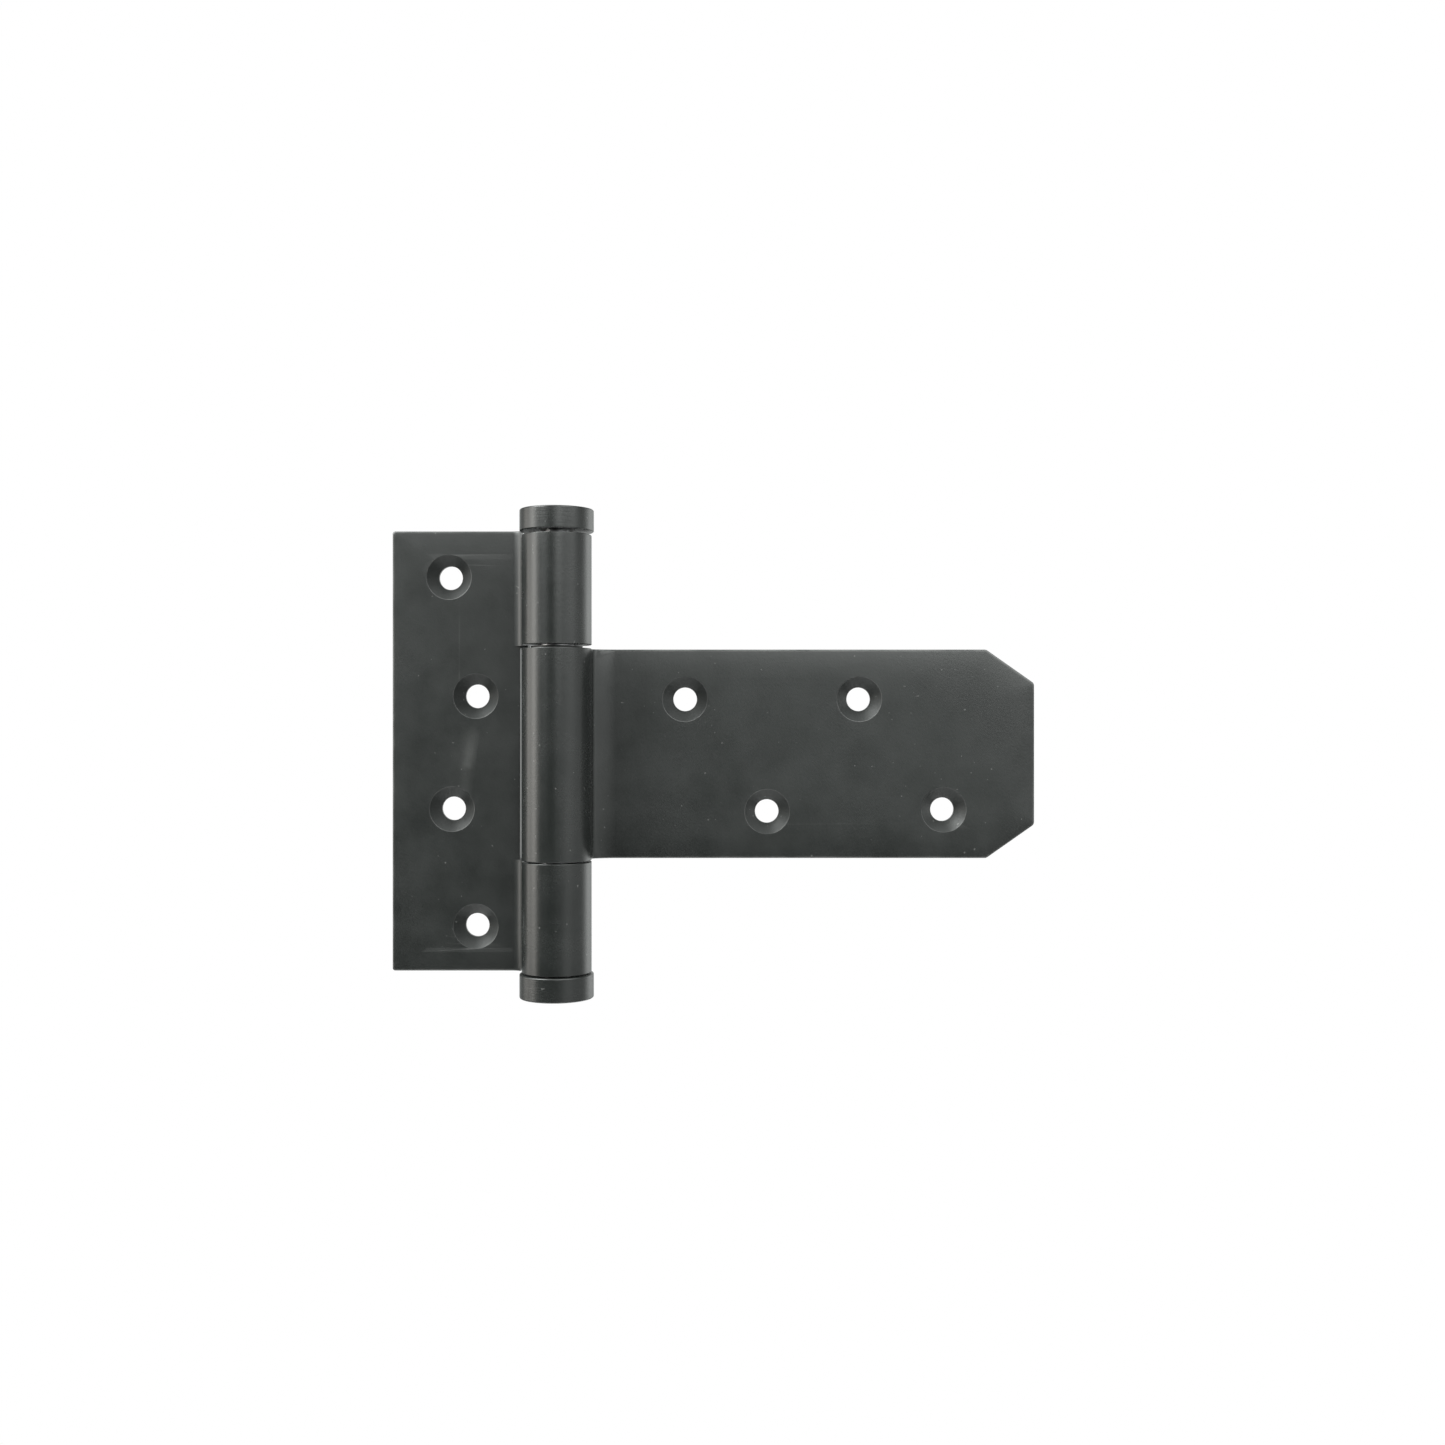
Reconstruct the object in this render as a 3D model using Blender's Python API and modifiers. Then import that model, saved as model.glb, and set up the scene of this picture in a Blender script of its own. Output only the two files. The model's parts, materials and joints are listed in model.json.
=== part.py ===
"""T hinge for a door, gate or shutter: a frame leaf, a strap leaf, a pin with two screw-on button caps, and
the bushes and thrust washers between them.

Metres, +Z up. The pin is vertical and the hinge is open flat: the strap runs along +X, the fronts face -Y,
and both backs lie on the plane Y = 0. The origin is on the back of the frame leaf at its mid-height.
Every piece is modelled about the pin's axis and hangs on an empty that stands on that axis.
"""

import math

import bmesh
import bpy

# Driving dimensions, in metres.
LEAF_HEIGHT = 0.1016
LEAF_REACH = 0.0385  # pin axis to the frame leaf's outer edge
STRAP_REACH = 0.1099  # pin axis to the strap's end
PLATE_THICKNESS = 0.004
BARREL_RADIUS = 0.00794
CAP_RADIUS = 0.00844
PIN_RADIUS = 0.004
ORIGIN_TO_PIN = 0.022  # along X, from the origin to the pin's axis

# Heights along the pin, from the leaf's mid-height.
BARREL_TOP = 0.04926
UPPER_JOINT_TOP = 0.02427  # underside of the frame leaf's upper knuckle
STRAP_TOP = 0.02347
STRAP_BOTTOM = -0.02477
LOWER_JOINT_BOTTOM = -0.02507  # top of the frame leaf's lower knuckle
BARREL_BOTTOM = -0.0502
TOP_CAP_UNDERSIDE = 0.05004
TOP_CAP_HEIGHT = 0.00504
BOTTOM_CAP_TOP = -0.0505
BOTTOM_CAP_HEIGHT = 0.00554

# Plates.
ROOT_FILLET = 0.0028  # where a plate meets its knuckle
LEAF_CORNER = 0.0006
STRAP_CORNER = 0.0012
STRAP_CLIP_LENGTH = 0.0111  # the clipped corners of the strap's end, along X and Z
STRAP_CLIP_HEIGHT = 0.0078
NOTCH_CLEARANCE = 0.001  # barrel to the vertical edge of the frame leaf's notch
KNUCKLE_SHOULDER = 0.00082  # barrel to the step in the leaf's top and bottom edges, clear of the caps
EDGE_BREAK = 0.00025

# Screw holes: centres from the pin's axis (X) and the leaf's mid-height (Z).
HOLE_RADIUS = 0.00275
SINK_RADIUS = 0.0052
SINK_ANGLE = math.radians(82.0)
LEAF_HOLES = ((-0.0254, 0.0402), (-0.0192, 0.0127), (-0.0247, -0.0134), (-0.0192, -0.0405))
STRAP_HOLES = ((0.0291, 0.0120), (0.0481, -0.0140), (0.0694, 0.0120), (0.0889, -0.0136))

# Fits.
RUNNING_GAP = 0.0002  # radial, between coaxial round pieces
FACE_GAP = 0.0003  # between faces that meet
BUSH_WALL = 0.0009
BUSH_LENGTH = 0.0135
WASHER_RADIUS = 0.0059
WASHER_SEAT_DEPTH = 0.001
SPIGOT_RADIUS = 0.003  # the pin's reduced ends, which the caps screw onto
SPIGOT_LENGTH = 0.0034
SMALL_CHAMFER = 0.0003
CAP_CHAMFER = 0.00035

ROUND_STEPS = 60
INNER_STEPS = 40
HOLE_STEPS = 36
FILLET_STEPS = 6
CORNER_STEPS = 4
SHARP_ANGLE = math.radians(30.0)
MERGE_DISTANCE = 1e-6
CUT_OVERSHOOT = 0.002  # how far a cutter runs past what it cuts

PLATE_BACK = CAP_RADIUS  # Y from the axis: the plates' backs lie flush with the backs of the caps
PLATE_FRONT = PLATE_BACK - PLATE_THICKNESS
BORE_RADIUS = PIN_RADIUS + RUNNING_GAP
BUSH_RADIUS = BORE_RADIUS + BUSH_WALL
BUSH_SEAT_RADIUS = BUSH_RADIUS + RUNNING_GAP
BUSH_SEAT_DEPTH = WASHER_SEAT_DEPTH + BUSH_LENGTH + FACE_GAP

BLACK = (0.055, 0.057, 0.056, 1.0)
STEEL = (0.55, 0.55, 0.56, 1.0)
BRONZE = (0.45, 0.30, 0.14, 1.0)
NYLON = (0.03, 0.03, 0.03, 1.0)


def clear_scene():
    for obj in list(bpy.data.objects):
        bpy.data.objects.remove(obj, do_unlink=True)


def new_collection(name):
    made = bpy.data.collections.new(name)
    bpy.context.scene.collection.children.link(made)
    return made


def new_material(name, colour, roughness, metallic):
    made = bpy.data.materials.new(name)
    made.use_nodes = True
    shader = made.node_tree.nodes["Principled BSDF"]
    shader.inputs["Base Color"].default_value = colour
    shader.inputs["Roughness"].default_value = roughness
    shader.inputs["Metallic"].default_value = metallic
    return made


def finish_piece(obj, material):
    """Gives a piece its material and smooth round sides, and hangs it on the pin's axis."""
    obj.data.materials.append(material)
    obj.data.shade_smooth()
    obj.data.set_sharp_from_angle(angle=SHARP_ANGLE)
    obj.parent = pin_axis
    return obj


def make_cutter(obj):
    """Moves an object to the cutters' collection and hides it from renders."""
    parts.objects.unlink(obj)
    cutters.objects.link(obj)
    obj.hide_render = True
    obj.display_type = "WIRE"
    obj.parent = pin_axis
    return obj


def arc(centre, radius, start, end, steps):
    """Points along an arc, both ends included. Angles in radians."""
    turn = (end - start) / steps
    angles = [start + turn * i for i in range(steps + 1)]
    return [(centre[0] + radius * math.cos(a), centre[1] + radius * math.sin(a)) for a in angles]


def rounded(corners, radii):
    """An outline with each corner replaced by an arc of its own radius. A radius of 0 keeps it sharp."""
    points = []
    for i, (x, y) in enumerate(corners):
        radius = radii[i]
        if radius == 0:
            points.append((x, y))
            continue
        before, after = corners[i - 1], corners[(i + 1) % len(corners)]
        into = math.atan2(y - before[1], x - before[0])
        out = math.atan2(after[1] - y, after[0] - x)
        turn = (out - into + math.pi) % (2 * math.pi) - math.pi
        back = radius * math.tan(abs(turn) / 2)
        side = math.copysign(math.pi / 2, turn)
        start = (x - back * math.cos(into), y - back * math.sin(into))
        centre = (start[0] + radius * math.cos(into + side), start[1] + radius * math.sin(into + side))
        points += arc(centre, radius, into - side, into - side + turn, CORNER_STEPS)
    return points


def extruded(name, outline, low, high, upright=False):
    """A solid with a flat outline: in X and Y from low to high in Z, or upright, in X and Z from low to high
    in Y."""
    curve = bpy.data.curves.new(name, "CURVE")
    curve.dimensions = "2D"
    curve.fill_mode = "BOTH"
    curve.extrude = (high - low) / 2
    spline = curve.splines.new("POLY")
    spline.points.add(len(outline) - 1)
    for point, (x, y) in zip(spline.points, outline):
        point.co = (x, y, 0.0, 1.0)
    spline.use_cyclic_u = True
    drawn = bpy.data.objects.new(name + "_outline", curve)
    middle = (low + high) / 2
    drawn.location = (0.0, middle, 0.0) if upright else (0.0, 0.0, middle)
    drawn.rotation_euler = (math.pi / 2, 0.0, 0.0) if upright else (0.0, 0.0, 0.0)
    parts.objects.link(drawn)
    bpy.context.view_layer.update()
    mesh = bpy.data.meshes.new_from_object(drawn.evaluated_get(bpy.context.evaluated_depsgraph_get()))
    mesh.name = name
    mesh.transform(drawn.matrix_world)
    bpy.data.objects.remove(drawn, do_unlink=True)
    closed = bmesh.new()
    closed.from_mesh(mesh)
    bmesh.ops.remove_doubles(closed, verts=closed.verts, dist=MERGE_DISTANCE)
    bmesh.ops.dissolve_limit(
        closed, angle_limit=math.radians(0.1), verts=closed.verts, edges=closed.edges, delimit={"NORMAL"}
    )
    bmesh.ops.recalc_face_normals(closed, faces=closed.faces)
    closed.to_mesh(mesh)
    closed.free()
    solid = bpy.data.objects.new(name, mesh)
    parts.objects.link(solid)
    return solid


def turned(name, profile, steps, ring=False):
    """A solid turned about Z from a profile of (radius, height) that runs down its outer side. A ring's
    profile is closed and stays off the axis."""
    mesh = bpy.data.meshes.new(name)
    last = len(profile) - 1
    edges = [(i, i + 1) for i in range(last)]
    if ring:
        edges.append((last, 0))
    mesh.from_pydata([(r, 0.0, z) for r, z in profile], edges, [])
    solid = bpy.data.objects.new(name, mesh)
    parts.objects.link(solid)
    screw = solid.modifiers.new("Turn", "SCREW")
    screw.axis = "Z"
    screw.angle = 2 * math.pi
    screw.steps = steps
    screw.render_steps = steps
    screw.use_merge_vertices = True
    screw.merge_threshold = MERGE_DISTANCE
    screw.use_smooth_shade = True
    return solid


def cut(obj, cutter, operation="DIFFERENCE"):
    boolean = obj.modifiers.new(cutter.name, "BOOLEAN")
    boolean.operation = operation
    boolean.solver = "EXACT"
    boolean.object = cutter


def break_edges(obj):
    bevel = obj.modifiers.new("Edge break", "BEVEL")
    bevel.width = EDGE_BREAK
    bevel.segments = 1
    bevel.limit_method = "ANGLE"
    bevel.angle_limit = SHARP_ANGLE


def leaf_section(reach, side):
    """The section across a leaf and its knuckle: plate, root fillet, and the barrel, which runs round to a
    tangent that meets the plate's back behind the pin."""
    fillet_y = PLATE_FRONT - ROOT_FILLET
    fillet_x = math.sqrt((BARREL_RADIUS + ROOT_FILLET) ** 2 - fillet_y**2)
    meet = math.atan2(fillet_y, -fillet_x)  # direction, from the axis, of the point where fillet meets barrel
    leave = 2.5 * math.pi - math.acos(BARREL_RADIUS / PLATE_BACK)
    outline = [(0.0, PLATE_BACK), (-reach, PLATE_BACK), (-reach, PLATE_FRONT)]
    outline += arc((-fillet_x, fillet_y), ROOT_FILLET, math.pi / 2, meet - math.pi, FILLET_STEPS)
    outline += arc((0.0, 0.0), BARREL_RADIUS, meet, leave, ROUND_STEPS * 3 // 4)[1:]
    return [(-side * x, y) for x, y in outline]


def plate_solid(name, reach, side, low, high, outline, radii):
    """A leaf before its bores and holes: its section run from low to high, trimmed to its front outline."""
    solid = extruded(name, leaf_section(reach, side), low, high)
    trim = extruded(
        name + "_trim",
        rounded(outline, radii),
        -PLATE_BACK - CUT_OVERSHOOT,
        PLATE_BACK + CUT_OVERSHOOT,
        upright=True,
    )
    cut(solid, make_cutter(trim), "INTERSECT")
    break_edges(solid)
    return solid


def drill_screw_holes(obj, centres):
    """Countersunk holes through a plate, wide end to the front."""
    depth = (SINK_RADIUS - HOLE_RADIUS) / math.tan(SINK_ANGLE / 2)
    widening = CUT_OVERSHOOT * math.tan(SINK_ANGLE / 2)
    profile = [
        (0.0, CUT_OVERSHOOT),
        (SINK_RADIUS + widening, CUT_OVERSHOOT),
        (HOLE_RADIUS, -depth),
        (HOLE_RADIUS, -PLATE_THICKNESS - CUT_OVERSHOOT),
        (0.0, -PLATE_THICKNESS - CUT_OVERSHOOT),
    ]
    for i, (x, z) in enumerate(centres):
        drill = make_cutter(turned(f"{obj.name}_screw_hole_{i + 1}", profile, HOLE_STEPS))
        drill.location = (x, PLATE_FRONT, z)
        drill.rotation_euler = (math.pi / 2, 0.0, 0.0)
        cut(obj, drill)


def bore_cutter(name, steps_down):
    """A cutter along the axis. steps_down holds (radius, top, bottom) of each stretch, from the top."""
    profile = [(0.0, steps_down[0][1])]
    for radius, top, bottom in steps_down:
        profile += [(radius, top), (radius, bottom)]
    profile.append((0.0, steps_down[-1][2]))
    return make_cutter(turned(name, profile, INNER_STEPS))


def notch_relief(edge):
    """A cutter that leaves the plate flat along its notch, where there is no knuckle for a fillet to meet."""
    left, right = edge - ROOT_FILLET, edge + CUT_OVERSHOOT
    front = PLATE_FRONT - ROOT_FILLET
    corners = [(left, front), (right, front), (right, PLATE_FRONT), (left, PLATE_FRONT)]
    return make_cutter(extruded("notch_relief", corners, LOWER_JOINT_BOTTOM, UPPER_JOINT_TOP))


def frame_leaf():
    edge = LEAF_HEIGHT / 2
    notch = -BARREL_RADIUS - NOTCH_CLEARANCE
    shoulder = -BARREL_RADIUS - KNUCKLE_SHOULDER
    past = BARREL_RADIUS + CUT_OVERSHOOT
    outline = [
        (-LEAF_REACH, edge),
        (-LEAF_REACH, -edge),
        (shoulder, -edge),
        (shoulder, BARREL_BOTTOM),
        (past, BARREL_BOTTOM),
        (past, LOWER_JOINT_BOTTOM),
        (notch, LOWER_JOINT_BOTTOM),
        (notch, UPPER_JOINT_TOP),
        (past, UPPER_JOINT_TOP),
        (past, BARREL_TOP),
        (shoulder, BARREL_TOP),
        (shoulder, edge),
    ]
    radii = [LEAF_CORNER, LEAF_CORNER] + [0] * 10
    low, high = -edge - CUT_OVERSHOOT, edge + CUT_OVERSHOOT
    leaf = plate_solid("frame_leaf", LEAF_REACH + CUT_OVERSHOOT, -1, low, high, outline, radii)
    cut(leaf, notch_relief(notch))
    cut(leaf, bore_cutter("frame_leaf_bore", [(BORE_RADIUS, edge, -edge)]))
    drill_screw_holes(leaf, LEAF_HOLES)
    return finish_piece(leaf, black_finish)


def strap_leaf():
    past = -BARREL_RADIUS - CUT_OVERSHOOT
    clip_x = STRAP_REACH - STRAP_CLIP_LENGTH
    outline = [
        (past, STRAP_BOTTOM),
        (clip_x, STRAP_BOTTOM),
        (STRAP_REACH, STRAP_BOTTOM + STRAP_CLIP_HEIGHT),
        (STRAP_REACH, STRAP_TOP - STRAP_CLIP_HEIGHT),
        (clip_x, STRAP_TOP),
        (past, STRAP_TOP),
    ]
    radii = [0] + [STRAP_CORNER] * 4 + [0]
    low, high = STRAP_BOTTOM - CUT_OVERSHOOT, STRAP_TOP + CUT_OVERSHOOT
    leaf = plate_solid("strap_leaf", STRAP_REACH + CUT_OVERSHOOT, 1, low, high, outline, radii)
    washer_seat = WASHER_RADIUS + RUNNING_GAP
    stretches = [
        (washer_seat, STRAP_TOP + CUT_OVERSHOOT, STRAP_TOP - WASHER_SEAT_DEPTH),
        (BUSH_SEAT_RADIUS, STRAP_TOP - WASHER_SEAT_DEPTH, STRAP_TOP - BUSH_SEAT_DEPTH),
        (BORE_RADIUS + RUNNING_GAP, STRAP_TOP - BUSH_SEAT_DEPTH, STRAP_BOTTOM + BUSH_SEAT_DEPTH),
        (BUSH_SEAT_RADIUS, STRAP_BOTTOM + BUSH_SEAT_DEPTH, STRAP_BOTTOM + WASHER_SEAT_DEPTH),
        (washer_seat, STRAP_BOTTOM + WASHER_SEAT_DEPTH, STRAP_BOTTOM - CUT_OVERSHOOT),
    ]
    cut(leaf, bore_cutter("strap_leaf_bore", stretches))
    drill_screw_holes(leaf, STRAP_HOLES)
    return finish_piece(leaf, black_finish)


def hinge_pin():
    """The shaft, with a reduced spigot at each end for its cap."""
    top = TOP_CAP_UNDERSIDE - FACE_GAP
    bottom = BOTTOM_CAP_TOP + FACE_GAP
    ends = SPIGOT_RADIUS - SMALL_CHAMFER
    profile = [
        (0.0, top + SPIGOT_LENGTH),
        (ends, top + SPIGOT_LENGTH),
        (SPIGOT_RADIUS, top + SPIGOT_LENGTH - SMALL_CHAMFER),
        (SPIGOT_RADIUS, top),
        (PIN_RADIUS - SMALL_CHAMFER, top),
        (PIN_RADIUS, top - SMALL_CHAMFER),
        (PIN_RADIUS, bottom + SMALL_CHAMFER),
        (PIN_RADIUS - SMALL_CHAMFER, bottom),
        (SPIGOT_RADIUS, bottom),
        (SPIGOT_RADIUS, bottom - SPIGOT_LENGTH + SMALL_CHAMFER),
        (ends, bottom - SPIGOT_LENGTH),
        (0.0, bottom - SPIGOT_LENGTH),
    ]
    return finish_piece(turned("hinge_pin", profile, INNER_STEPS), bare_steel)


def button_cap(name, mouth, height, up):
    """A round button with a blind hole in the face that meets the barrel. up is 1 at the top end of the pin
    and -1 at the bottom end."""
    inner = CAP_RADIUS - CAP_CHAMFER
    hole = SPIGOT_RADIUS + RUNNING_GAP
    depth = SPIGOT_LENGTH
    profile = [
        (0.0, height),
        (inner, height),
        (CAP_RADIUS, height - CAP_CHAMFER),
        (CAP_RADIUS, CAP_CHAMFER),
        (inner, 0.0),
        (hole, 0.0),
        (hole, depth),
        (0.0, depth),
    ]
    cap = turned(name, profile, ROUND_STEPS)
    cap.location = (0.0, 0.0, mouth)
    if up < 0:
        cap.rotation_euler = (math.pi, 0.0, 0.0)
    return finish_piece(cap, black_finish)


def ring(name, inner, outer, top, bottom, material):
    """A sleeve or washer round the pin."""
    profile = [(inner, top), (outer, top), (outer, bottom), (inner, bottom)]
    return finish_piece(turned(name, profile, INNER_STEPS, ring=True), material)


def bushes():
    """Plain sleeves in the two ends of the strap's knuckle."""
    top = STRAP_TOP - WASHER_SEAT_DEPTH
    ring("upper_bush", BORE_RADIUS, BUSH_RADIUS, top, top - BUSH_LENGTH, bush_bronze)
    bottom = STRAP_BOTTOM + WASHER_SEAT_DEPTH
    ring("lower_bush", BORE_RADIUS, BUSH_RADIUS, bottom + BUSH_LENGTH, bottom, bush_bronze)


def washers():
    """Thrust washers, each in its seat in the strap's knuckle and facing the frame leaf's knuckle."""
    bottom = STRAP_TOP - WASHER_SEAT_DEPTH + FACE_GAP
    ring("upper_washer", BORE_RADIUS, WASHER_RADIUS, UPPER_JOINT_TOP - FACE_GAP, bottom, washer_nylon)
    top = STRAP_BOTTOM + WASHER_SEAT_DEPTH - FACE_GAP
    ring("lower_washer", BORE_RADIUS, WASHER_RADIUS, top, LOWER_JOINT_BOTTOM + FACE_GAP, washer_nylon)


clear_scene()
parts = new_collection("t_hinge")
cutters = new_collection("t_hinge_cutters")
pin_axis = bpy.data.objects.new("pin_axis", None)
pin_axis.location = (ORIGIN_TO_PIN, -PLATE_BACK, 0.0)
parts.objects.link(pin_axis)

black_finish = new_material("satin_black_finish", BLACK, 0.42, 0.6)
bare_steel = new_material("bare_steel", STEEL, 0.3, 1.0)
bush_bronze = new_material("sintered_bronze", BRONZE, 0.5, 1.0)
washer_nylon = new_material("black_nylon", NYLON, 0.5, 0.0)

frame_leaf()
strap_leaf()
hinge_pin()
button_cap("top_cap", TOP_CAP_UNDERSIDE, TOP_CAP_HEIGHT, 1)
button_cap("bottom_cap", BOTTOM_CAP_TOP, BOTTOM_CAP_HEIGHT, -1)
bushes()
washers()
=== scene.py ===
"""Looks of the T hinge: fine meshes, finishes, studio and camera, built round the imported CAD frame.

Metres, +Z up, in the CAD's frame. Each visible piece is built here at full surface quality and stands for
its CAD node. The pieces inside the barrel keep their CAD meshes and get their own finishes.
"""

import json
import math

import bmesh
import bpy
from mathutils import Matrix, Vector


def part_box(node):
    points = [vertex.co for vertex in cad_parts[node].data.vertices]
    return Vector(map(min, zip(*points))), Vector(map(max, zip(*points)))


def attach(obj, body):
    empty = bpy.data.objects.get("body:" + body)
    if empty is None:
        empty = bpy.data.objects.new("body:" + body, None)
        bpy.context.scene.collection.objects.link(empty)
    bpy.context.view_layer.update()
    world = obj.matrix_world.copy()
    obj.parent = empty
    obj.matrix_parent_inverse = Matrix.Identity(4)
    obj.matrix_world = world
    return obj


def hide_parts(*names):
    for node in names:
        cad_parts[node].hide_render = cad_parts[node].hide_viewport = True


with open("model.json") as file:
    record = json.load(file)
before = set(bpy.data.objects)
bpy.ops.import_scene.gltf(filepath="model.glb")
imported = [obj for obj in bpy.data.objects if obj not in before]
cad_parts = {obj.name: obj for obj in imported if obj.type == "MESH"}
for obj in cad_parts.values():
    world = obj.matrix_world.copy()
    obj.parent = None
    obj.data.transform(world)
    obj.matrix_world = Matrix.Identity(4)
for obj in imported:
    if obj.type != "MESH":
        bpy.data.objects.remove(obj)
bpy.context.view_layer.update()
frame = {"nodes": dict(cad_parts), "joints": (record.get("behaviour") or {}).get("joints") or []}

# Read from the frame.
AXIS = Vector(frame["joints"][0]["pos_m"])
LEAF_LOW, LEAF_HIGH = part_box("frame_leaf")
STRAP_LOW, STRAP_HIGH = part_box("strap_leaf")
TOP_CAP_LOW, TOP_CAP_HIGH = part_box("top_cap")
BOTTOM_CAP_LOW, BOTTOM_CAP_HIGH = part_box("bottom_cap")
PIN_LOW, PIN_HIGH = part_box("hinge_pin")
BUSH_LOW, BUSH_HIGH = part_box("upper_bush")
WASHER_LOW, WASHER_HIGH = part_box("upper_washer")

BACK = LEAF_HIGH.y - AXIS.y  # the backs of both plates, from the pin's axis
BARREL_RADIUS = AXIS.y - STRAP_LOW.y
CAP_RADIUS = (TOP_CAP_HIGH.x - TOP_CAP_LOW.x) / 2
PIN_RADIUS = (PIN_HIGH.x - PIN_LOW.x) / 2
BUSH_RADIUS = (BUSH_HIGH.x - BUSH_LOW.x) / 2
WASHER_RADIUS = (WASHER_HIGH.x - WASHER_LOW.x) / 2
LEAF_REACH = AXIS.x - LEAF_LOW.x
STRAP_REACH = STRAP_HIGH.x - AXIS.x

# The CAD's own choices that its boxes don't give, in metres.
PLATE_THICKNESS = 0.004
FRONT = BACK - PLATE_THICKNESS
ROOT_FILLET = 0.0028
NOTCH_CLEARANCE = 0.001
KNUCKLE_SHOULDER = 0.00082
UPPER_GAP = 0.0008  # between the upper knuckle and the strap's
LOWER_GAP = 0.0003
RUNNING_GAP = 0.0002
FACE_GAP = 0.0003
TOP_CAP_GAP = 0.00078
STRAP_CLIP = (0.0111, 0.0078)
HOLE_RADIUS = 0.00275
SINK_RADIUS = 0.0052
SINK_ANGLE = math.radians(82.0)
LEAF_HOLES = ((0.0254, 0.0402), (0.0192, 0.0127), (0.0247, -0.0134), (0.0192, -0.0405))
STRAP_HOLES = ((0.0291, 0.0120), (0.0481, -0.0140), (0.0694, 0.0120), (0.0889, -0.0136))
WASHER_SEAT_DEPTH = 0.001
SPIGOT_LENGTH = 0.0034
SPIGOT_RADIUS = 0.003

# Surface quality.
EDGE_RADIUS = 0.00035
EDGE_STEPS = 4
CROWN_WIDTH = 0.01  # the buffed fall-off towards a plate's edges
CROWN_DROP = 0.00033
CROWN_STEPS = (0.03, 0.07, 0.12, 0.18, 0.25, 0.33, 0.42, 0.52, 0.64, 0.8, 1.0)
CROWN_CORNER = 0.4  # how fast the crown's corners grow rounder inwards
STRAP_ROOT = (0.0016, 0.014, math.radians(18.0))  # tight radius, hollow radius and the angle where they meet
LEAF_CORNER = 0.0006  # the radius of the frame leaf's corners
STRAP_CORNER = 0.0012
BARREL_STEP = math.radians(3.0)
FILLET_STEPS = 12
HOLLOW_STEPS = 12
CORNER_STEPS = 8
CAP_EDGE = 0.00035
CAP_MOUTH_EDGE = 0.0003
RIM_RADIUS = 0.00018
BACK_RIM = 0.00015
RIM_STEPS = 4
KNUCKLE_EDGE = 0.00016
NOTCH_EDGE = 0.0003
NOTCH_STEP = 0.0005  # the notch's top corner stands this much lower behind the knuckle
NOTCH_CORNER = 0.9 * BARREL_RADIUS  # that corner is what lies farther than this from the pin's axis
CLEAR_OF_ENDS = 0.0022  # keeps the knuckle's mesh rings off the planes where it is cut
CAP_STEPS = 120
BORE_STEPS = 96
HOLE_STEPS = 72
PAST = 0.001  # how far a turned cutter sticks out of what it cuts
DEEP = 0.02  # how far a box cutter reaches from the pin's axis, or past the leaf's ends
NEAR = 0.00003  # how closely an edge is told by its place
CLEAR_OF_CORNERS = 0.0004  # keeps the knuckles' rounding off the edges at the leaf's top and bottom
TINY = 1e-7
SMOOTH_LIMIT = math.radians(35.0)


def crown(inset):
    """How far a plate's front falls below flat, this far in from its edge."""
    return CROWN_DROP * max(0.0, 1.0 - inset / CROWN_WIDTH) ** 3


def edge_levels():
    """(inset from the edge, depth of the rounding, depth of the crown) from the side wall to the flat."""
    levels = []
    for k in range(EDGE_STEPS + 1):
        turn = math.pi / 2 * k / EDGE_STEPS
        inset = EDGE_RADIUS * (1 - math.cos(turn))
        levels.append((inset, EDGE_RADIUS * (1 - math.sin(turn)), crown(inset)))
    for share in CROWN_STEPS:
        inset = EDGE_RADIUS + (CROWN_WIDTH - EDGE_RADIUS) * share
        levels.append((inset, 0.0, crown(inset)))
    return levels


def offset_outline(outline, inset):
    """An open convex outline moved inwards. Its two ends slide along the line they start on."""
    lines = []
    for a, b in zip(outline, outline[1:]):
        along = (b - a).normalized()
        inward = Vector((along.y, -along.x))
        lines.append((a + inward * inset, along))
    moved = [lines[0][0].copy()]
    for (here, along), (there, ahead) in zip(lines, lines[1:]):
        cross = along.x * ahead.y - along.y * ahead.x
        reach = ((there.x - here.x) * ahead.y - (there.y - here.y) * ahead.x) / cross
        moved.append(here + along * reach)
    here, along = lines[-1]
    moved.append(here + along * (outline[-1] - outline[-2]).length)
    moved[0].x = outline[0].x
    moved[-1].x = outline[-1].x
    return moved


def soften(outline, radius):
    """The outline with round corners."""
    points = [outline[0]]
    for before, here, after in zip(outline, outline[1:], outline[2:]):
        into = (here - before).normalized()
        out = (after - here).normalized()
        turn = math.atan2(into.x * out.y - into.y * out.x, into.dot(out))
        back = radius * math.tan(abs(turn) / 2)
        start = here - into * back
        side = Vector((into.y, -into.x)) * (1 if turn < 0 else -1)
        centre = start + side * radius
        for i in range(CORNER_STEPS + 1):
            arm = Matrix.Rotation(turn * i / CORNER_STEPS, 2) @ -side
            points.append(centre + arm * radius)
    points.append(outline[-1])
    return points


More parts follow.
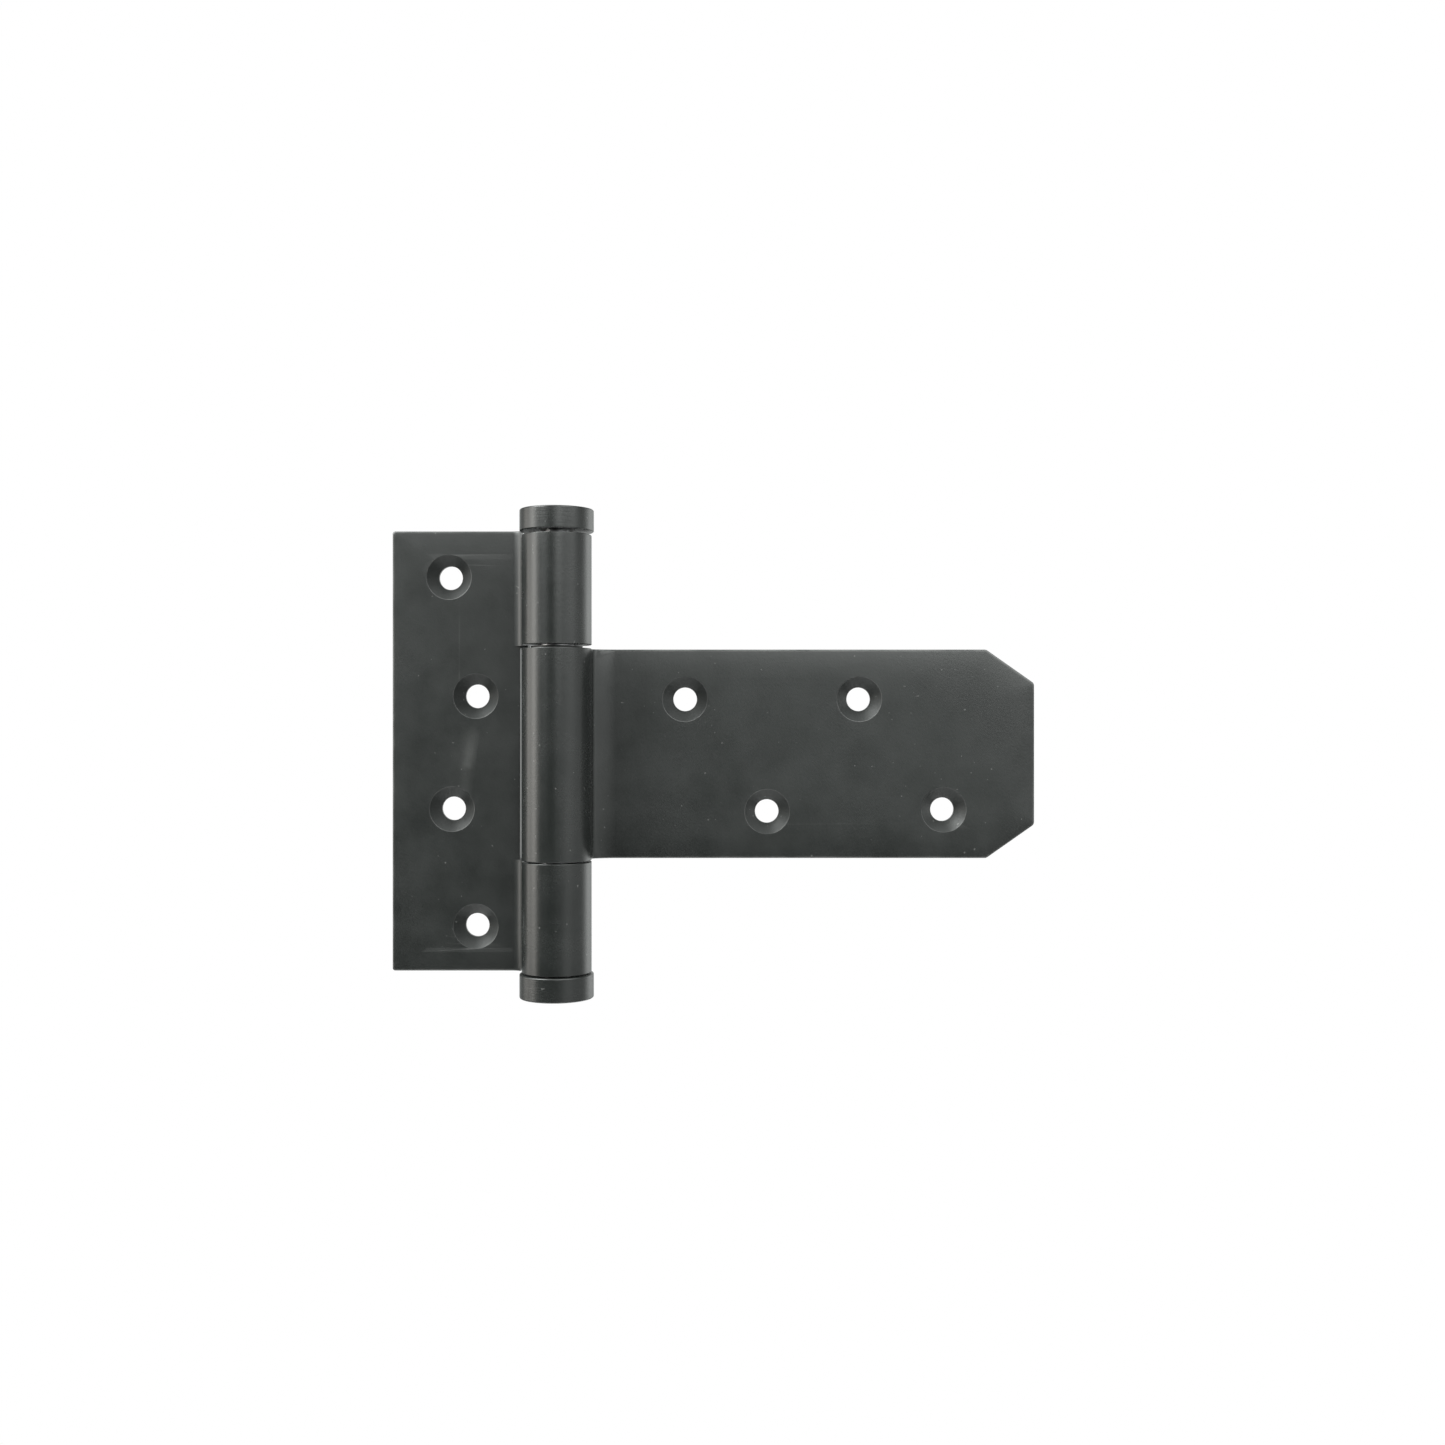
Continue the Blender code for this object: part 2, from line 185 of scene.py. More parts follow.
def barrel_columns(root):
    """Points round the knuckle from the plate's front to its back: (u, y, normal u, normal y, crown share).
    u is the distance from the axis towards the plate. root holds the fillet's radius, the radius of the wide
    hollow that runs from it into the plate, and the angle where the two meet."""
    tight, wide, bend = root
    offset = wide - tight
    fillet_y = FRONT - wide + offset * math.cos(bend)
    fillet_u = math.sqrt((BARREL_RADIUS + tight) ** 2 - fillet_y**2)
    meet = math.atan2(fillet_y, fillet_u)
    arcs = [(fillet_u, fillet_y, tight, math.pi / 2 + bend, math.pi + meet, FILLET_STEPS)]
    if offset > 0:
        hollow_u = fillet_u + offset * math.sin(bend)
        arcs.insert(0, (hollow_u, FRONT - wide, wide, math.pi / 2, math.pi / 2 + bend, HOLLOW_STEPS))
    steps = sum(a[-1] for a in arcs)
    columns = []
    for centre_u, centre_y, radius, start, end, count in arcs:
        for i in range(count):
            angle = start + (end - start) * i / count
            u = centre_u + radius * math.cos(angle)
            y = centre_y + radius * math.sin(angle)
            columns.append((u, y, -math.cos(angle), -math.sin(angle), 1 - len(columns) / steps))
    leave = -math.pi * 1.5 + math.acos(BARREL_RADIUS / BACK)
    steps = round((meet - leave) / BARREL_STEP)
    for i in range(steps + 1):
        angle = meet + (leave - meet) * i / steps
        nu = math.cos(angle)
        ny = math.sin(angle)
        columns.append((BARREL_RADIUS * nu, BARREL_RADIUS * ny, nu, ny, 0.0))
    half_bend = math.acos(BARREL_RADIUS / BACK) / 2
    columns.append((0.0, BACK, -math.sin(half_bend), math.cos(half_bend), 0.0))
    columns.append((columns[0][0], BACK, 0.0, 1.0, 1.0))
    return columns


def leaf_mesh(name, outline, corner_radius, root, side):
    """One leaf with a full-height knuckle: crowned plate, rounded edges, root fillet and barrel. The outline
    is in u and z, from the knuckle's top out along the plate and back to the knuckle's bottom. side is the
    direction of the plate along X."""
    levels = edge_levels()
    made = bmesh.new()

    def vert(u, y, z):
        return made.verts.new((AXIS.x + side * u, AXIS.y + y, z))

    def strip(first, second):
        for a, b, c, d in zip(first, first[1:], second[1:], second):
            made.faces.new((a, b, c, d))

    fronts, backs = [], []
    for inset, rounding, sink in levels:
        ring = soften(offset_outline(outline, inset), corner_radius + CROWN_CORNER * inset)
        fronts.append([vert(p.x, FRONT + rounding + sink, p.y) for p in ring])
        backs.append([vert(p.x, BACK - rounding, p.y) for p in ring])
    for rings in (fronts, backs):
        for outer, inner in zip(rings, rings[1:]):
            strip(outer, inner)
        made.faces.new(rings[-1])
    strip(fronts[0], backs[0])

    top, bottom = outline[0].y, outline[-1].y
    columns = []
    for u, y, nu, ny, share in barrel_columns(root):
        half = []
        for inset, rounding, sink in levels:
            sharper = share + (1 - share) * KNUCKLE_EDGE / EDGE_RADIUS
            depth = rounding * sharper + share * sink * (y < BACK - TINY)
            level = inset * sharper if inset <= EDGE_RADIUS else inset + (1 - share) * CLEAR_OF_ENDS
            half.append((u - nu * depth, y - ny * depth, level))
        down = [vert(u, y, top - inset) for u, y, inset in half]
        down += [vert(u, y, bottom + inset) for u, y, inset in reversed(half)]
        columns.append(down)
    for left, right in zip(columns, columns[1:]):
        strip(left, right)
    made.faces.new([c[0] for c in columns])
    made.faces.new([c[-1] for c in columns])

    bmesh.ops.remove_doubles(made, verts=made.verts, dist=TINY * 10)
    bmesh.ops.recalc_face_normals(made, faces=made.faces)
    mesh = bpy.data.meshes.new(name)
    made.to_mesh(mesh)
    made.free()
    piece = bpy.data.objects.new(name, mesh)
    bpy.context.scene.collection.objects.link(piece)
    return piece


def box_cutter(low, high):
    mesh = bpy.data.meshes.new("box_cutter")
    made = bmesh.new()
    bmesh.ops.create_cube(made, size=1.0)
    size = Vector(high) - Vector(low)
    middle = (Vector(high) + Vector(low)) / 2
    place = Matrix.Translation(middle) @ Matrix.Diagonal((*size, 1.0))
    bmesh.ops.transform(made, matrix=place, verts=made.verts)
    made.to_mesh(mesh)
    made.free()
    cutter = bpy.data.objects.new("box_cutter", mesh)
    bpy.context.scene.collection.objects.link(cutter)
    return cutter


def turned(name, profile, steps, place):
    """A solid turned about Z from (radius, height) points, placed in the frame."""
    made = bmesh.new()
    loops = []
    for radius, height in profile:
        if radius < TINY:
            loops.append([made.verts.new((0.0, 0.0, height))])
            continue
        angles = [2 * math.pi * i / steps for i in range(steps)]
        loops.append([made.verts.new((radius * math.cos(a), radius * math.sin(a), height)) for a in angles])
    for upper, lower in zip(loops, loops[1:]):
        for i in range(steps):
            j = (i + 1) % steps
            corners = [loop[k % len(loop)] for loop, k in ((upper, i), (upper, j), (lower, j), (lower, i))]
            made.faces.new(list(dict.fromkeys(corners)))
    bmesh.ops.recalc_face_normals(made, faces=made.faces)
    mesh = bpy.data.meshes.new(name)
    made.to_mesh(mesh)
    made.free()
    mesh.transform(place)
    solid = bpy.data.objects.new(name, mesh)
    bpy.context.scene.collection.objects.link(solid)
    return solid


def cut_away(piece, cutters):
    """Cuts each cutter out of the piece, for good, and removes the cutters."""
    for cutter in cutters:
        boolean = piece.modifiers.new("cut", "BOOLEAN")
        boolean.solver = "EXACT"
        boolean.object = cutter
    bake_modifiers(piece)
    for cutter in cutters:
        bpy.data.objects.remove(cutter, do_unlink=True)


def bake_modifiers(piece):
    graph = bpy.context.evaluated_depsgraph_get()
    graph.update()
    done = bpy.data.meshes.new_from_object(piece.evaluated_get(graph))
    piece.modifiers.clear()
    old = piece.data
    piece.data = done
    done.name = piece.name
    bpy.data.meshes.remove(old)


def round_edges(piece, chosen, radius, steps):
    """Rounds the sharp edges whose middle, from the pin's axis as (u, y, z), chosen() accepts."""
    made = bmesh.new()
    made.from_mesh(piece.data)
    edges = []
    for edge in made.edges:
        if len(edge.link_faces) != 2 or edge.calc_face_angle(0.0) < SMOOTH_LIMIT:
            continue
        if all(chosen(v.co - AXIS) for v in edge.verts):
            edges.append(edge)
    bmesh.ops.bevel(
        made,
        geom=edges,
        offset=radius,
        offset_type="OFFSET",
        segments=steps,
        profile=0.5,
        affect="EDGES",
        clamp_overlap=False,
        miter_outer="ARC",
    )
    made.to_mesh(piece.data)
    made.free()


def hole_cutters(holes, side):
    """A stepped cutter for each countersunk hole. It leaves the wide rim round and breaks the back one."""
    cone = SINK_ANGLE / 2
    turn = math.pi / 2 - cone
    run = RIM_RADIUS * math.tan(turn / 2)
    depth = (SINK_RADIUS - HOLE_RADIUS) / math.tan(cone)
    profile = [(0.0, PAST), (SINK_RADIUS + run, PAST)]
    for i in range(RIM_STEPS + 1):
        angle = math.pi / 2 + turn * i / RIM_STEPS
        profile.append((SINK_RADIUS + run + RIM_RADIUS * math.cos(angle), RIM_RADIUS * (math.sin(angle) - 1)))
    profile += [
        (HOLE_RADIUS, -depth),
        (HOLE_RADIUS, BACK_RIM - PLATE_THICKNESS),
        (HOLE_RADIUS + BACK_RIM + PAST, -PLATE_THICKNESS - PAST),
        (0.0, -PLATE_THICKNESS - PAST),
    ]
    cutters = []
    for u, z in holes:
        mouth = Matrix.Translation((AXIS.x + side * u, AXIS.y + FRONT, z))
        place = mouth @ Matrix.Rotation(math.pi / 2, 4, "X")
        cutters.append(turned("hole_cutter", profile, HOLE_STEPS, place))
    return cutters


# Wear starts at the first of these bends, in radians per metre, and is full at the second.
WEAR_BENDS = (300.0, 1800.0)
SHORTEST_BEND = 0.00005  # a bend is never measured over less than this
TURNING_FADE = 0.001


def paint_masks(piece, holes, side, turning):
    """Stores what the finish needs to know: how convex each point is, how strongly the round parts were
    turned, and in the countersinks, the distance from the hole's axis."""
    made = bmesh.new()
    made.from_mesh(piece.data)
    edge = made.verts.layers.float.new("edge")
    turned_here = made.verts.layers.float.new("turned")
    ring = made.loops.layers.float.new("ring_radius")
    gentle, full = WEAR_BENDS
    for vert in made.verts:
        bend = 0.0
        for link in vert.link_edges:
            if len(link.link_faces) == 2:
                one, two = link.link_faces
                apart = (one.calc_center_median() - two.calc_center_median()).length
                bend = max(bend, link.calc_face_angle_signed(0.0) / max(apart, SHORTEST_BEND))
        out = math.hypot(vert.co.x - AXIS.x, vert.co.y - AXIS.y)
        clear_of_knuckles = out > BARREL_RADIUS + 2 * NOTCH_CLEARANCE
        vert[edge] = min(1.0, max(0.0, (bend - gentle) / (full - gentle))) * clear_of_knuckles
        vert[turned_here] = turning * min(1.0, max(0.0, (CAP_RADIUS + TURNING_FADE - out) / TURNING_FADE))
    for face in made.faces:
        middle = face.calc_center_median() - AXIS
        for u, z in holes:
            if face.normal.y < -0.2 and math.hypot(middle.x - side * u, middle.z - z) < SINK_RADIUS:
                for loop in face.loops:
                    at = loop.vert.co - AXIS
                    loop[ring] = math.hypot(at.x - side * u, at.z - z)
    made.to_mesh(piece.data)
    made.free()


def finish_mesh(piece):
    """Smooth round faces and true flat ones."""
    piece.data.shade_smooth()
    piece.data.set_sharp_from_angle(angle=SMOOTH_LIMIT)
    weighted = piece.modifiers.new("weighted", "WEIGHTED_NORMAL")
    weighted.mode = "FACE_AREA"
    weighted.weight = 100
    weighted.keep_sharp = True
    bake_modifiers(piece)


def make_frame_leaf():
    high, low = LEAF_HIGH.z, LEAF_LOW.z
    root = (ROOT_FILLET, ROOT_FILLET, 0.0)
    start = barrel_columns(root)[0][0]
    outline = [Vector(p) for p in ((start, high), (LEAF_REACH, high), (LEAF_REACH, low), (start, low))]
    leaf = leaf_mesh("frame_leaf_body", outline, LEAF_CORNER, root, -1)
    notch = BARREL_RADIUS + NOTCH_CLEARANCE
    shoulder = BARREL_RADIUS + KNUCKLE_SHOULDER
    barrel_top = TOP_CAP_LOW.z - TOP_CAP_GAP
    barrel_bottom = BOTTOM_CAP_HIGH.z + FACE_GAP
    joint_top = STRAP_HIGH.z + UPPER_GAP
    joint_bottom = STRAP_LOW.z - LOWER_GAP
    left = AXIS.x - notch
    corner = AXIS.x - NOTCH_CORNER
    knuckle_left = AXIS.x - shoulder
    right = AXIS.x + DEEP
    fore = AXIS.y - DEEP
    step_front = AXIS.y + BACK / 4
    aft = AXIS.y + DEEP
    cutters = [
        box_cutter((corner, fore, joint_bottom), (right, aft, joint_top)),
        box_cutter((left, fore, joint_bottom), (corner + TINY, step_front, joint_top)),
        box_cutter((left, AXIS.y, joint_bottom), (corner + TINY, aft, joint_top - NOTCH_STEP)),
        box_cutter((knuckle_left, fore, barrel_top), (right, aft, high + DEEP)),
        box_cutter((knuckle_left, fore, low - DEEP), (right, aft, barrel_bottom)),
        box_cutter((AXIS.x - start - EDGE_RADIUS, AXIS.y, joint_bottom), (AXIS.x, AXIS.y + FRONT, joint_top)),
    ]
    cut_away(leaf, cutters)

    def knuckle_edge(p):
        between_ends = low + CLEAR_OF_CORNERS < p.z < high - CLEAR_OF_CORNERS
        return between_ends and math.hypot(p.x, p.y) < BARREL_RADIUS + NEAR

    def notch_edge(p):
        at_front = abs(p.y - FRONT) < PLATE_THICKNESS / 4
        return at_front and abs(p.x + notch) < NEAR and joint_bottom - TINY < p.z < joint_top + TINY

    round_edges(leaf, knuckle_edge, KNUCKLE_EDGE, 3)
    round_edges(leaf, notch_edge, NOTCH_EDGE, 4)
    bore = PIN_RADIUS + RUNNING_GAP
    place = Matrix.Translation(Vector((AXIS.x, AXIS.y, 0.0)))
    profile = [(0.0, high), (bore, high), (bore, low), (0.0, low)]
    cut_away(leaf, [turned("bore_cutter", profile, BORE_STEPS, place)])
    cut_away(leaf, hole_cutters(LEAF_HOLES, -1))
    return leaf


def make_strap_leaf():
    high, low = STRAP_HIGH.z, STRAP_LOW.z
    start = barrel_columns(STRAP_ROOT)[0][0]
    clip_u, clip_z = STRAP_CLIP
    corners = (
        (start, high),
        (STRAP_REACH - clip_u, high),
        (STRAP_REACH, high - clip_z),
        (STRAP_REACH, low + clip_z),
        (STRAP_REACH - clip_u, low),
        (start, low),
    )
    leaf = leaf_mesh("strap_leaf_body", [Vector(p) for p in corners], STRAP_CORNER, STRAP_ROOT, 1)
    washer_seat = WASHER_RADIUS + RUNNING_GAP
    bush_seat = BUSH_RADIUS + RUNNING_GAP
    bore = PIN_RADIUS + 2 * RUNNING_GAP
    bush_length = BUSH_HIGH.z - BUSH_LOW.z
    seat_depth = WASHER_SEAT_DEPTH + bush_length + FACE_GAP
    profile = [
        (0.0, high + PAST),
        (washer_seat, high + PAST),
        (washer_seat, high - WASHER_SEAT_DEPTH),
        (bush_seat, high - WASHER_SEAT_DEPTH),
        (bush_seat, high - seat_depth),
        (bore, high - seat_depth),
        (bore, low + seat_depth),
        (bush_seat, low + seat_depth),
        (bush_seat, low + WASHER_SEAT_DEPTH),
        (washer_seat, low + WASHER_SEAT_DEPTH),
        (washer_seat, low - PAST),
        (0.0, low - PAST),
    ]
    place = Matrix.Translation(Vector((AXIS.x, AXIS.y, 0.0)))
    cut_away(leaf, [turned("bore_cutter", profile, BORE_STEPS, place)])
    cut_away(leaf, hole_cutters(STRAP_HOLES, 1))
    return leaf


def round_corner(radius, height, size, up):
    """Points of a rounded outer corner of a turned profile, top to bottom. up is 1 at the upper corner."""
    points = []
    for k in range(EDGE_STEPS + 1):
        turn = math.pi / 2 * k / EDGE_STEPS
        if up > 0:
            points.append((radius - size + size * math.sin(turn), height - size + size * math.cos(turn)))
        else:
            points.append((radius - size + size * math.cos(turn), height + size - size * math.sin(turn)))
    return points


def make_cap(name, cad_node, mouth, up):
    """A round cap, opening downwards at the height mouth where up is 1, and upwards where it is -1."""
    low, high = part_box(cad_node)
    height = high.z - low.z
    hole = SPIGOT_RADIUS + RUNNING_GAP
    profile = [(0.0, height)]
    profile += round_corner(CAP_RADIUS, height, CAP_EDGE, 1)
    profile += round_corner(CAP_RADIUS, 0.0, CAP_MOUTH_EDGE, -1)
    profile += [(hole, 0.0), (hole, SPIGOT_LENGTH), (0.0, SPIGOT_LENGTH)]
    place = Matrix.Translation((AXIS.x, AXIS.y, mouth))
    if up < 0:
        place = place @ Matrix.Rotation(math.pi, 4, "X")
    return turned(name, profile, CAP_STEPS, place)


# ---- finishes ----

GRAIN_HEIGHT = 0.000014
PLATE_ROUGHNESS = 0.35
TURNED_ROUGHNESS = 0.26
SINK_ROUGHER = 0.1  # the countersinks' walls, against the plates
KNUCKLE_TURNING = 0.35  # how deep the turning lines are on the knuckles, against the caps
# How often each pattern repeats in a metre. Turning lines are long round the pin's axis and fine along it.
CLOUD_SCALE = 130.0
GRAIN_SCALE = 1500.0
FINE_GRAIN_SCALE = 4200.0
NICK_SCALE = 1300.0
RING_SCALE = 5200.0
LINE_SCALE = (260.0, 260.0, 2600.0)
HAIRLINE_SCALE = (300.0, 300.0, 9000.0)
INNER_LINE_SCALE = (80.0, 80.0, 6000.0)
# How high each pattern stands, in GRAIN_HEIGHT.
GRAIN_DEPTH = 1.25
FINE_GRAIN_DEPTH = 0.55
LINE_DEPTH = 1.5
HAIRLINE_DEPTH = 0.6
RING_DEPTH = 0.8
# How the roughness varies with the grain and the clouds, and what evens out their mean.
GRAIN_GLOSS = 0.06
CLOUD_GLOSS = 0.12
MEAN_GLOSS = 0.09
NICK_LEVEL = 0.84
NICK_SHARE = 0.6
WEAR_SHARE = 0.5
BLACK_LOW = (0.0065, 0.0075, 0.0070)
BLACK_HIGH = (0.0105, 0.0115, 0.0110)
WORN_COLOUR = (0.09, 0.09, 0.088)


def node(tree, kind, **inputs):
    """A new node with these inputs or settings."""
    made = tree.nodes.new(kind)
    for key, value in inputs.items():
        name = key.replace("_", " ")
        if name in made.inputs:
            made.inputs[name].default_value = value
        else:
            setattr(made, key, value)
    return made


def two_colours(tree, factor, low, high, low_at=0.0, high_at=1.0):
    """A ramp from the low colour to the high one, driven by a factor."""
    ramp = node(tree, "ShaderNodeValToRGB")
    first, last = ramp.color_ramp.elements
    first.position = low_at
    last.position = high_at
    first.color = (*low, 1.0)
    last.color = (*high, 1.0)
    tree.links.new(factor, ramp.inputs["Fac"])
    return ramp.outputs["Color"]


def arithmetic(tree, operation, *values):
    """One math node on sockets and numbers."""
    made = node(tree, "ShaderNodeMath", operation=operation)
    for socket, value in zip(made.inputs, values):
        if isinstance(value, bpy.types.NodeSocket):
            tree.links.new(value, socket)
        else:
            socket.default_value = value
    return made.outputs["Value"]


def noise(tree, vector, scale, detail, roughness=0.55):
    made = node(tree, "ShaderNodeTexNoise", Scale=scale, Detail=detail, Roughness=roughness)
    tree.links.new(vector, made.inputs["Vector"])
    return made.outputs["Fac"]


def stretched(tree, vector, scale):
    made = node(tree, "ShaderNodeMapping", Scale=scale)
    tree.links.new(vector, made.inputs["Vector"])
    return made.outputs["Vector"]


def range_of(tree, value, from_low, from_high, to_low, to_high):
    """The value moved from one range to another, and kept inside it."""
    ends = {"From_Min": from_low, "From_Max": from_high, "To_Min": to_low, "To_Max": to_high}
    made = node(tree, "ShaderNodeMapRange", clamp=True, **ends)
    tree.links.new(value, made.inputs["Value"])
    return made.outputs["Result"]


def black_finish():
    """Satin near-black finish: fine blasted grain on the plates, turning lines round the knuckles, caps and
    countersinks, faint clouds in gloss, wear along the edges and a few light nicks."""
    material = bpy.data.materials.new("satin_black")
    material.use_nodes = True
    tree = material.node_tree
    shader = tree.nodes["Principled BSDF"]
    where = node(tree, "ShaderNodeTexCoord").outputs["Object"]
    clouds = noise(tree, where, CLOUD_SCALE, 4.0)
    grain = noise(tree, where, GRAIN_SCALE, 3.0, 0.6)
    fine = noise(tree, where, FINE_GRAIN_SCALE, 2.0)
    lines = noise(tree, stretched(tree, where, LINE_SCALE), 1.0, 3.0, 0.6)
    hairlines = noise(tree, stretched(tree, where, HAIRLINE_SCALE), 1.0, 2.0, 0.6)
    turned_here = node(tree, "ShaderNodeAttribute", attribute_name="turned").outputs["Fac"]
    ring_radius = node(tree, "ShaderNodeAttribute", attribute_name="ring_radius").outputs["Fac"]
    edge = node(tree, "ShaderNodeAttribute", attribute_name="edge").outputs["Fac"]

    rings = node(tree, "ShaderNodeTexNoise", noise_dimensions="1D", Scale=RING_SCALE, Detail=2.0)
    tree.links.new(ring_radius, rings.inputs["W"])
    in_sink = arithmetic(tree, "GREATER_THAN", ring_radius, HOLE_RADIUS / 2)

    worn = arithmetic(tree, "MULTIPLY", edge, range_of(tree, clouds, 0.42, 0.62, 0.25, 1.0))
    nicks = arithmetic(tree, "GREATER_THAN", noise(tree, where, NICK_SCALE, 0.0), NICK_LEVEL)
    worn_bare = arithmetic(tree, "MULTIPLY", worn, WEAR_SHARE)
    bare = arithmetic(tree, "MAXIMUM", worn_bare, arithmetic(tree, "MULTIPLY", nicks, NICK_SHARE))

    shade = two_colours(tree, clouds, BLACK_LOW, BLACK_HIGH, 0.3, 0.7)
    mix = node(tree, "ShaderNodeMix", data_type="RGBA")
    tree.links.new(bare, mix.inputs["Factor"])
    tree.links.new(shade, mix.inputs[6])
    mix.inputs[7].default_value = (*WORN_COLOUR, 1.0)
    tree.links.new(mix.outputs[2], shader.inputs["Base Color"])

    gloss = range_of(tree, turned_here, 0.0, KNUCKLE_TURNING, PLATE_ROUGHNESS, TURNED_ROUGHNESS)
    gloss = arithmetic(tree, "MULTIPLY_ADD", in_sink, SINK_ROUGHER, gloss)
    cloudy = arithmetic(tree, "MULTIPLY", clouds, CLOUD_GLOSS)
    uneven = arithmetic(tree, "MULTIPLY_ADD", grain, GRAIN_GLOSS, cloudy)
    spread = arithmetic(tree, "ADD", gloss, arithmetic(tree, "SUBTRACT", uneven, MEAN_GLOSS))
    tree.links.new(spread, shader.inputs["Roughness"])

    grained = arithmetic(tree, "MULTIPLY", grain, GRAIN_DEPTH)
    plain = arithmetic(tree, "MULTIPLY_ADD", fine, FINE_GRAIN_DEPTH, grained)
    lined = arithmetic(tree, "MULTIPLY", lines, LINE_DEPTH)
    streaks = arithmetic(tree, "MULTIPLY_ADD", hairlines, HAIRLINE_DEPTH, lined)
    turning = arithmetic(tree, "MULTIPLY", streaks, turned_here)
    ring_depth = arithmetic(tree, "MULTIPLY", in_sink, RING_DEPTH)
    sink = arithmetic(tree, "MULTIPLY", rings.outputs["Fac"], ring_depth)
    height = arithmetic(tree, "ADD", plain, arithmetic(tree, "ADD", turning, sink))
    bump = node(tree, "ShaderNodeBump", Strength=1.0, Distance=GRAIN_HEIGHT)
    tree.links.new(height, bump.inputs["Height"])
    tree.links.new(bump.outputs["Normal"], shader.inputs["Normal"])
    return material


def turned_finish(name, colour, roughness, metallic):
    """A plain turned finish for the pieces inside the barrel, with fine lines round the pin's axis."""
    material = bpy.data.materials.new(name)
    material.use_nodes = True
    tree = material.node_tree
    shader = tree.nodes["Principled BSDF"]
    where = node(tree, "ShaderNodeTexCoord").outputs["Object"]
    lines = noise(tree, stretched(tree, where, INNER_LINE_SCALE), 1.0, 3.0, 0.6)
    shade = two_colours(tree, lines, [0.8 * c for c in colour], [1.1 * c for c in colour])
    tree.links.new(shade, shader.inputs["Base Color"])
    gloss = range_of(tree, lines, 0.0, 1.0, roughness * 0.85, roughness * 1.15)
    tree.links.new(gloss, shader.inputs["Roughness"])
    bump = node(tree, "ShaderNodeBump", Strength=0.3, Distance=0.00001)
    tree.links.new(lines, bump.inputs["Height"])
    tree.links.new(bump.outputs["Normal"], shader.inputs["Normal"])
    shader.inputs["Metallic"].default_value = metallic
    return material


def dress(piece, material):
    piece.data.materials.clear()
    piece.data.materials.append(material)


def build_object():
    black = black_finish()
    for piece, cad_node, body, holes, side, turning in (
        (make_frame_leaf(), "frame_leaf", "frame", LEAF_HOLES, -1, KNUCKLE_TURNING),
        (make_strap_leaf(), "strap_leaf", "strap", STRAP_HOLES, 1, KNUCKLE_TURNING),
        (make_cap("top_cap_body", "top_cap", TOP_CAP_LOW.z, 1), "top_cap", "pin", (), 1, 1.0),
        (make_cap("bottom_cap_body", "bottom_cap", BOTTOM_CAP_HIGH.z, -1), "bottom_cap", "pin", (), 1, 1.0),
    ):
        finish_mesh(piece)
        paint_masks(piece, holes, side, turning)
        dress(piece, black)
        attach(piece, body)
        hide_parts(cad_node)
    steel = turned_finish("ground_steel", (0.5, 0.5, 0.51), 0.3, 1.0)
    dress(frame["nodes"]["hinge_pin"], steel)
    bronze = turned_finish("sintered_bronze", (0.45, 0.30, 0.14), 0.5, 1.0)
    nylon = turned_finish("black_nylon", (0.02, 0.02, 0.02), 0.5, 0.0)
    for name in ("upper_bush", "lower_bush"):
        dress(frame["nodes"][name], bronze)
    for name in ("upper_washer", "lower_washer"):
        dress(frame["nodes"][name], nylon)


# ---- studio ----

CAMERA_FROM_AXIS = Vector((0.0378, -0.348, 0.0066))
SENSOR_MM = 36.0
LENS_MM = 38.018
FLOOR_HALF_WIDTH = 0.45
FLOOR_PLACE = (0.05, 0.0, -0.42)
FLOOR_GREY = 0.8
FLOOR_ROUGHNESS = 0.8


def make_camera():
    data = bpy.data.cameras.new("camera")
    data.sensor_width = SENSOR_MM
    data.lens = LENS_MM
    data.clip_start = 0.01
    data.clip_end = 20.0
    camera = bpy.data.objects.new("camera", data)
    bpy.context.scene.collection.objects.link(camera)
    camera.location = Vector((AXIS.x, AXIS.y, 0.0)) + CAMERA_FROM_AXIS
    camera.rotation_euler = (math.pi / 2, 0.0, 0.0)
    bpy.context.scene.camera = camera


def aim_at(azimuth, elevation):
    """A direction from the hinge. Azimuth 0 is in front, 90 on the right and 180 behind."""
    a, e = math.radians(azimuth), math.radians(elevation)
    return Vector((math.sin(a) * math.cos(e), -math.cos(a) * math.cos(e), math.sin(e)))


# The studio's soft lights: azimuth, elevation and spread in degrees, then strength.
LIGHTS = (
    # A wide panel overhead in front, in three rows.
    (-36, 21, 9, 5.0),
    (12, 21, 9, 7.5),
    (36, 21, 9, 2.5),
    (60, 21, 9, 3.5),
    (45, 48, 13, 6.5),
    (0, 75, 16, 2.0),
    # Two lamps on the left. The upper one lights the countersinks' lower right walls.
    (-72, 24, 10, 8.0),
    (-60, 45, 12, 22.0),
    # Weak fills on the right, at its rear and from below.
    (50, 0, 13, 0.9),
    (80, 0, 13, 0.8),
    (125, 0, 15, 2.5),
    (35, -14, 11, 0.7),
    # The backdrop.
    (180, 10, 40, 0.8),
)
# A warm strip on the left, level with the hinge.
WARM_LIGHTS = (
    (-74, 0, 8, 6.0),
    (-100, 0, 9, 3.4),
)
NEUTRAL_LIGHT = (0.969, 1.0, 0.984)
WARM_LIGHT = (1.0, 0.965, 0.91)


